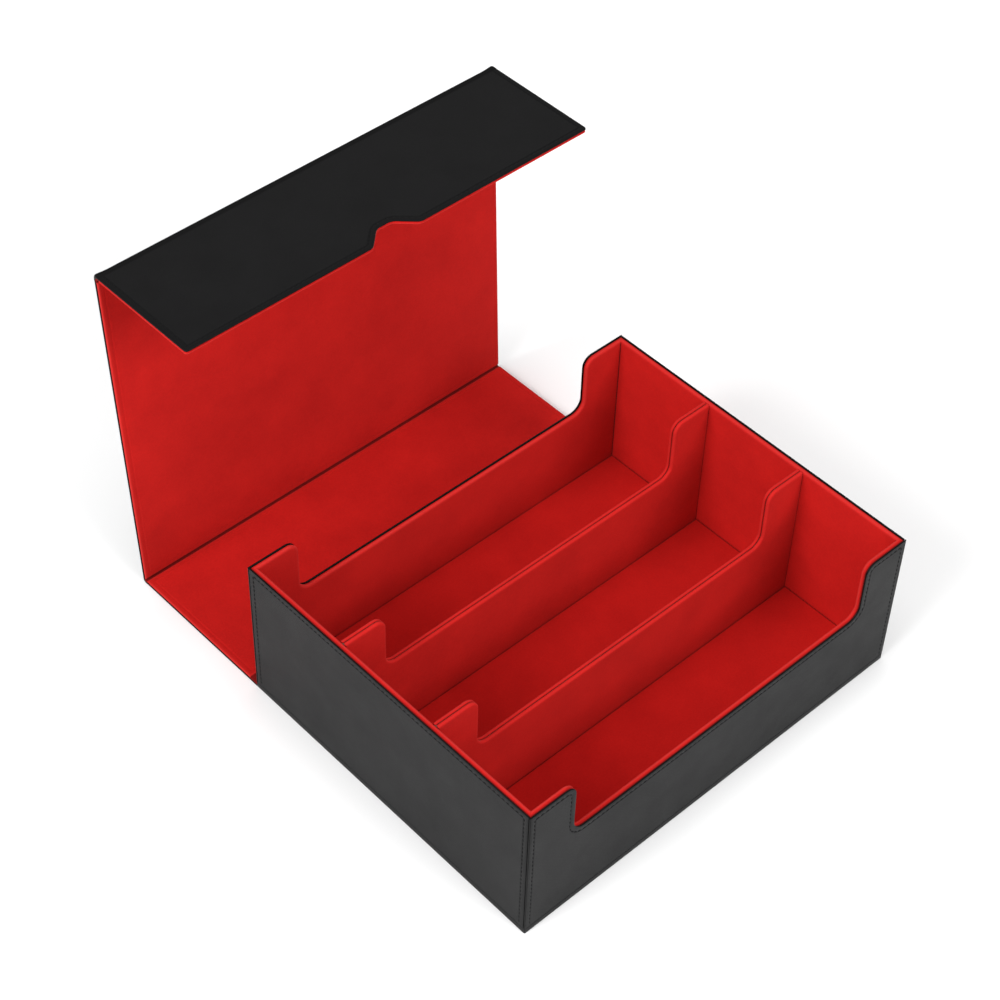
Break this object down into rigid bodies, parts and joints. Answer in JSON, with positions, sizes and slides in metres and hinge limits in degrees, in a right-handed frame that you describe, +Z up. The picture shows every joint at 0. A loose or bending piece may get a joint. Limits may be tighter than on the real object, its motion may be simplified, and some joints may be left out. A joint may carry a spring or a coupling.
{
  "type": "card deck box",
  "caption": "Leather card storage box with suede-lined rows and hand scoops, and a hinged wrap-around cover with a notched magnetic flap.",
  "frame": {"origin": "centre of the tray's underside, on the surface the box stands on", "axes": "+X along the card rows to the right end, -Y to the front where the flap closes, +Z up"},
  "size_m": [0.285, 0.343, 0.2324],
  "materials": {
    "black_leather": "smooth matte black faux leather with a very fine grain, lightly worn at its edges",
    "red_suede": "bright red microsuede lining with a short nap",
    "greyboard": "unbleached greyboard, hidden inside the panels",
    "black_thread": "twisted black polyester sewing thread",
    "magnet_steel": "nickel-plated flat magnets, hidden inside the panels"
  },
  "bodies": {
    "tray": {"base_leather": "black_leather", "base_board": "greyboard", "front_row_floor_lining": "red_suede", "middle_row_floor_lining": "red_suede", "rear_row_floor_lining": "red_suede", "front_wall_leather": "black_leather", "front_wall_stitching": "black_thread", "front_wall_board": "greyboard", "front_wall_lining": "red_suede", "rear_wall_leather": "black_leather", "rear_wall_stitching": "black_thread", "rear_wall_board": "greyboard", "rear_wall_lining": "red_suede", "left_end_leather": "black_leather", "left_end_stitching": "black_thread", "left_end_board": "greyboard", "left_end_lining": "red_suede", "right_end_leather": "black_leather", "right_end_stitching": "black_thread", "right_end_board": "greyboard", "right_end_lining": "red_suede", "front_divider_board": "greyboard", "front_divider_front_lining": "red_suede", "front_divider_rear_lining": "red_suede", "rear_divider_board": "greyboard", "rear_divider_front_lining": "red_suede", "rear_divider_rear_lining": "red_suede", "wall_magnet_left": "magnet_steel", "wall_magnet_right": "magnet_steel", "rear_fold_leather": "black_leather", "rear_fold_lining": "red_suede"},
    "rear_panel": {"rear_panel_leather": "black_leather", "rear_panel_left_stitching": "black_thread", "rear_panel_right_stitching": "black_thread", "rear_panel_board": "greyboard", "rear_panel_lining": "red_suede", "top_fold_leather": "black_leather", "top_fold_lining": "red_suede"},
    "top_panel": {"top_panel_leather": "black_leather", "top_panel_left_stitching": "black_thread", "top_panel_right_stitching": "black_thread", "top_panel_board": "greyboard", "top_panel_lining": "red_suede"},
    "flap_strip": {"flap_fold_leather": "black_leather", "flap_fold_lining": "red_suede"},
    "front_flap": {"front_flap_leather": "black_leather", "front_flap_stitching": "black_thread", "front_flap_board": "greyboard", "front_flap_lining": "red_suede", "flap_magnet_left": "magnet_steel", "flap_magnet_right": "magnet_steel"}
  },
  "joints": [
    {"name": "rear_hinge", "type": "hinge", "parent": "tray", "child": "rear_panel", "pos_m": [0, 0.1152, 0.00045], "axis": [1, 0, 0], "range_deg": [0, 90], "deforming": ["rear_fold_leather", "rear_fold_lining"]},
    {"name": "top_hinge", "type": "hinge", "parent": "rear_panel", "child": "top_panel", "pos_m": [0, 0.2195, 0.00045], "axis": [1, 0, 0], "range_deg": [-87.3, 2.7], "deforming": ["top_fold_leather", "top_fold_lining"]},
    {"name": "flap_lift", "type": "hinge", "parent": "top_panel", "child": "flap_strip", "pos_m": [0, 0.2303, 0.22945], "axis": [1, 0, 0], "range_deg": [-18, 0]},
    {"name": "flap_hinge", "type": "hinge", "parent": "flap_strip", "child": "front_flap", "pos_m": [0, 0.22816, 0.2317], "axis": [1, 0, 0], "range_deg": [-92.5, 15.5], "deforming": ["flap_fold_leather", "flap_fold_lining"]}
  ],
  "couplings": [
    {"joint": "flap_lift", "follows": "rear_hinge", "ratio": -0.2}
  ]
}
